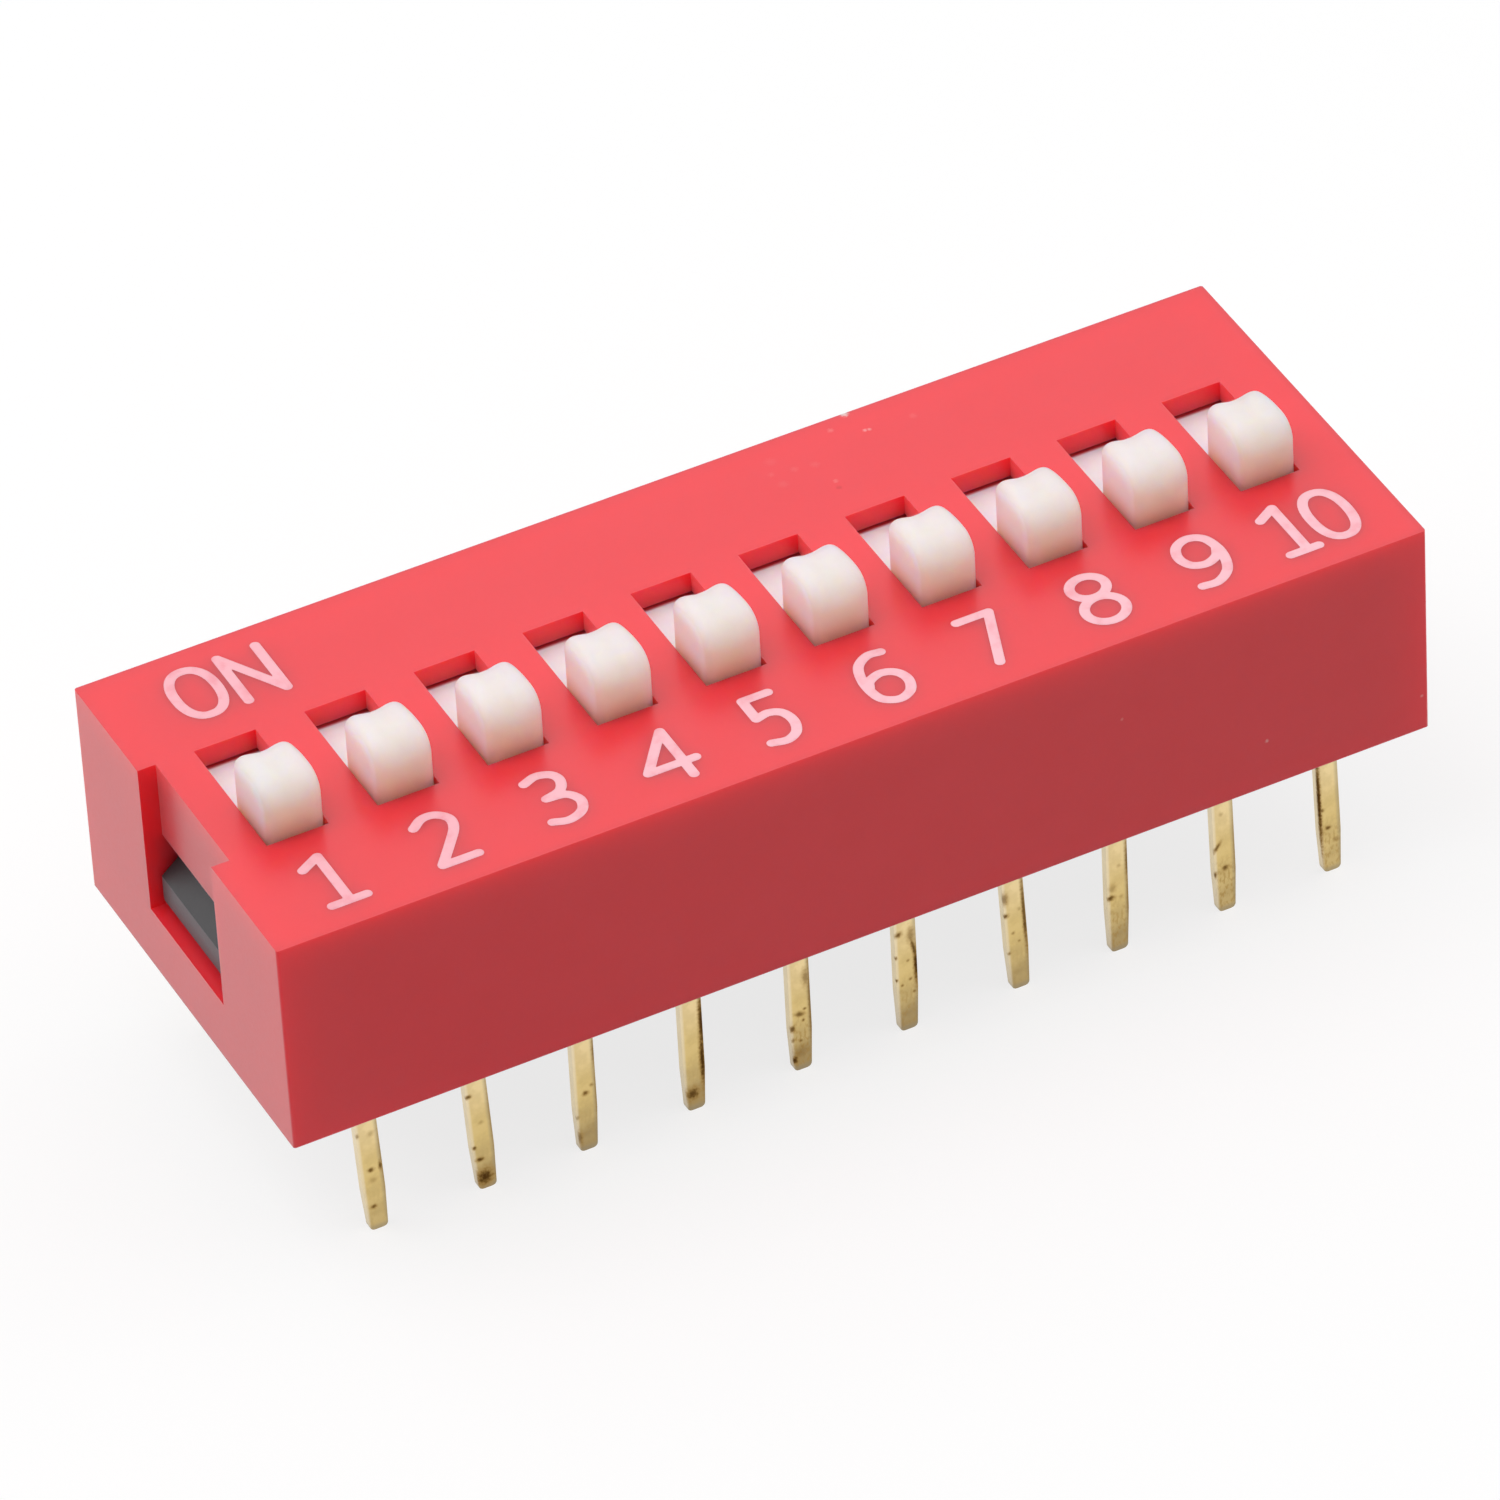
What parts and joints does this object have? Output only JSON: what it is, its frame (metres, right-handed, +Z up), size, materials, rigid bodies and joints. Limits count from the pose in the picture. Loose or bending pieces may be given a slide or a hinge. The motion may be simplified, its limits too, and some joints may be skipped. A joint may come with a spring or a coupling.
{
  "type": "dip switch",
  "caption": "Row of small slide switches in one red housing for a circuit board, with raised cream knobs, numbered positions, an ON side and two rows of flat plated pins.",
  "frame": {"origin": "centre of the seating face, the underside of the base that lies on the board", "axes": "+X along the row from switch 1 to switch 10, +Y to the ON side, +Z up out of the board; the pins go down to -Z"},
  "size_m": [0.0268, 0.0098, 0.0106],
  "materials": {
    "cover_red": "satin moulded thermoplastic, red",
    "base_grey": "matt moulded thermoplastic, dark grey",
    "slide_cream": "satin moulded thermoplastic, cream white",
    "contact_plated": "thin plated spring strip",
    "pin_plated": "dull plated stamped strip with small brown spots"
  },
  "bodies": {
    "housing": {"cover": "cover_red", "base": "base_grey", "terminal_front_01": "pin_plated", "terminal_front_02": "pin_plated", "terminal_front_03": "pin_plated", "terminal_front_04": "pin_plated", "terminal_front_05": "pin_plated", "terminal_front_06": "pin_plated", "terminal_front_07": "pin_plated", "terminal_front_08": "pin_plated", "terminal_front_09": "pin_plated", "terminal_front_10": "pin_plated", "terminal_back_01": "pin_plated", "terminal_back_02": "pin_plated", "terminal_back_03": "pin_plated", "terminal_back_04": "pin_plated", "terminal_back_05": "pin_plated", "terminal_back_06": "pin_plated", "terminal_back_07": "pin_plated", "terminal_back_08": "pin_plated", "terminal_back_09": "pin_plated", "terminal_back_10": "pin_plated"},
    "switch_01": {"slider_01": "slide_cream", "contact_01": "contact_plated"},
    "switch_02": {"slider_02": "slide_cream", "contact_02": "contact_plated"},
    "switch_03": {"slider_03": "slide_cream", "contact_03": "contact_plated"},
    "switch_04": {"slider_04": "slide_cream", "contact_04": "contact_plated"},
    "switch_05": {"slider_05": "slide_cream", "contact_05": "contact_plated"},
    "switch_06": {"slider_06": "slide_cream", "contact_06": "contact_plated"},
    "switch_07": {"slider_07": "slide_cream", "contact_07": "contact_plated"},
    "switch_08": {"slider_08": "slide_cream", "contact_08": "contact_plated"},
    "switch_09": {"slider_09": "slide_cream", "contact_09": "contact_plated"},
    "switch_10": {"slider_10": "slide_cream", "contact_10": "contact_plated"}
  },
  "joints": [
    {"name": "slide_01", "type": "slide", "parent": "housing", "child": "switch_01", "axis": [0, 1, 0], "range_m": [0, 0.0018]},
    {"name": "slide_02", "type": "slide", "parent": "housing", "child": "switch_02", "axis": [0, 1, 0], "range_m": [0, 0.0018]},
    {"name": "slide_03", "type": "slide", "parent": "housing", "child": "switch_03", "axis": [0, 1, 0], "range_m": [0, 0.0018]},
    {"name": "slide_04", "type": "slide", "parent": "housing", "child": "switch_04", "axis": [0, 1, 0], "range_m": [0, 0.0018]},
    {"name": "slide_05", "type": "slide", "parent": "housing", "child": "switch_05", "axis": [0, 1, 0], "range_m": [0, 0.0018]},
    {"name": "slide_06", "type": "slide", "parent": "housing", "child": "switch_06", "axis": [0, 1, 0], "range_m": [0, 0.0018]},
    {"name": "slide_07", "type": "slide", "parent": "housing", "child": "switch_07", "axis": [0, 1, 0], "range_m": [0, 0.0018]},
    {"name": "slide_08", "type": "slide", "parent": "housing", "child": "switch_08", "axis": [0, 1, 0], "range_m": [0, 0.0018]},
    {"name": "slide_09", "type": "slide", "parent": "housing", "child": "switch_09", "axis": [0, 1, 0], "range_m": [0, 0.0018]},
    {"name": "slide_10", "type": "slide", "parent": "housing", "child": "switch_10", "axis": [0, 1, 0], "range_m": [0, 0.0018]}
  ]
}
